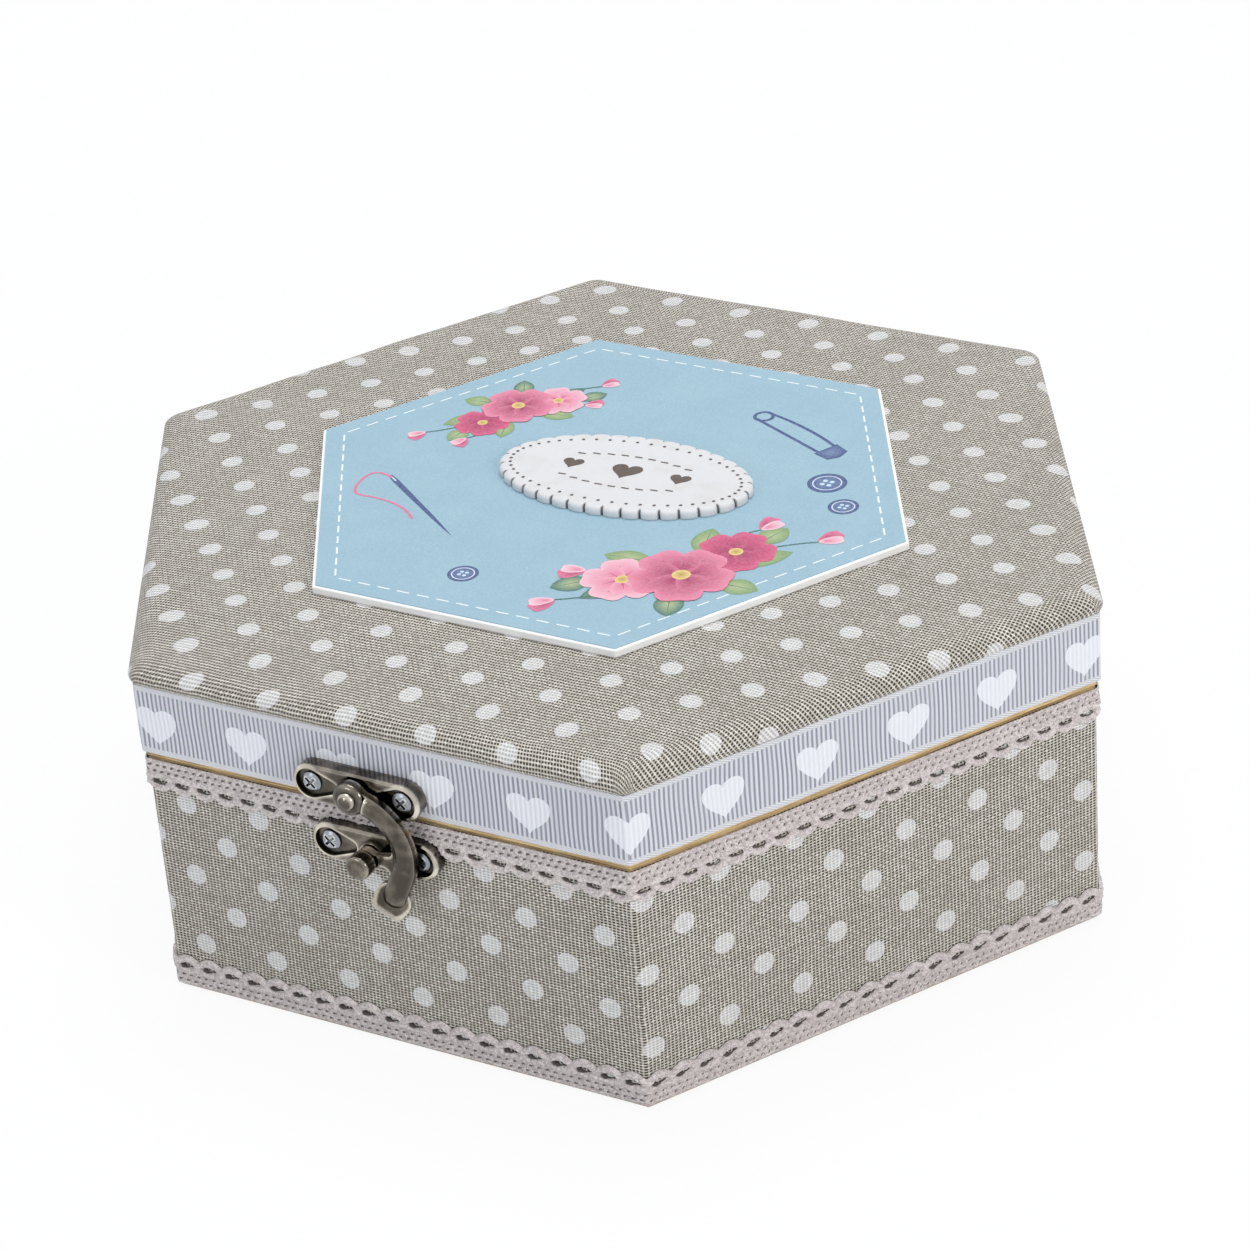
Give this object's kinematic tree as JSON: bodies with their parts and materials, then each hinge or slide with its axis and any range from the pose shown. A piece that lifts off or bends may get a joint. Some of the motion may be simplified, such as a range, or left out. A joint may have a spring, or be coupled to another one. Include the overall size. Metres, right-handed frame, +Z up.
{
  "type": "hexagonal wooden sewing box",
  "caption": "Hexagonal wooden sewing box covered in dotted linen, with lace and ribbon trim, a padded hinged lid with a plaque, and a swing-hook latch.",
  "frame": {"origin": "middle of the underside of the base board, on the surface that the box stands on", "axes": "+Z up; the latch faces -Y and the hinges are on the +Y side; two corners of the hexagon lie on the X axis"},
  "size_m": [0.2354, 0.2159, 0.0867],
  "materials": {
    "fibreboard": "bare sawn edge, matt",
    "dotted_linen": "plain-weave linen with printed white dots",
    "crochet_lace": "cotton crochet lace, matt",
    "heart_ribbon": "ribbed grosgrain with printed hearts",
    "cotton_lining": "plain cotton, matt",
    "foam": "open-cell foam",
    "painted_board": "white painted board",
    "blue_print": "printed paper, satin",
    "white_label": "white painted board, satin",
    "dark_nickel": "polished dark nickel plate",
    "zinc_screw": "bright zinc plate",
    "hinge_nickel": "dark nickel plate"
  },
  "bodies": {
    "box": {"base_board": "fibreboard", "base_lining": "cotton_lining", "box_cover": "dotted_linen", "catch_plate": "dark_nickel", "catch_post": "dark_nickel", "catch_screws": "zinc_screw", "hinge_box_leaf_left": "hinge_nickel", "hinge_box_leaf_right": "hinge_nickel", "hinge_box_screws": "zinc_screw", "hinge_pin_left": "hinge_nickel", "hinge_pin_right": "hinge_nickel", "lower_lace": "crochet_lace", "upper_lace": "crochet_lace", "wall_front": "fibreboard", "wall_front_left": "fibreboard", "wall_front_right": "fibreboard", "wall_lining": "cotton_lining", "wall_rear": "fibreboard", "wall_rear_left": "fibreboard", "wall_rear_right": "fibreboard"},
    "lid": {"foam_pad": "foam", "heart_ribbon": "heart_ribbon", "hinge_lid_leaf_left": "hinge_nickel", "hinge_lid_leaf_right": "hinge_nickel", "hinge_lid_screws": "zinc_screw", "latch_plate": "dark_nickel", "latch_rivet": "dark_nickel", "latch_screws": "zinc_screw", "lid_board": "fibreboard", "lid_cover": "dotted_linen", "lid_lining": "cotton_lining", "oval_label": "white_label", "plaque_board": "painted_board", "plaque_print": "blue_print", "rim_front": "fibreboard", "rim_front_left": "fibreboard", "rim_front_right": "fibreboard", "rim_lining": "cotton_lining", "rim_rear": "fibreboard", "rim_rear_left": "fibreboard", "rim_rear_right": "fibreboard"},
    "latch_hook": {"latch_hook": "dark_nickel"}
  },
  "joints": [
    {"name": "lid_hinge", "type": "hinge", "parent": "box", "child": "lid", "pos_m": [0, 0.1035, 0.05875], "axis": [-1, 0, 0], "range_deg": [0, 105]},
    {"name": "latch_swing", "type": "hinge", "parent": "lid", "child": "latch_hook", "pos_m": [-0.0031, -0.1077, 0.0646], "axis": [0, -1, 0], "range_deg": [0, 100]}
  ]
}
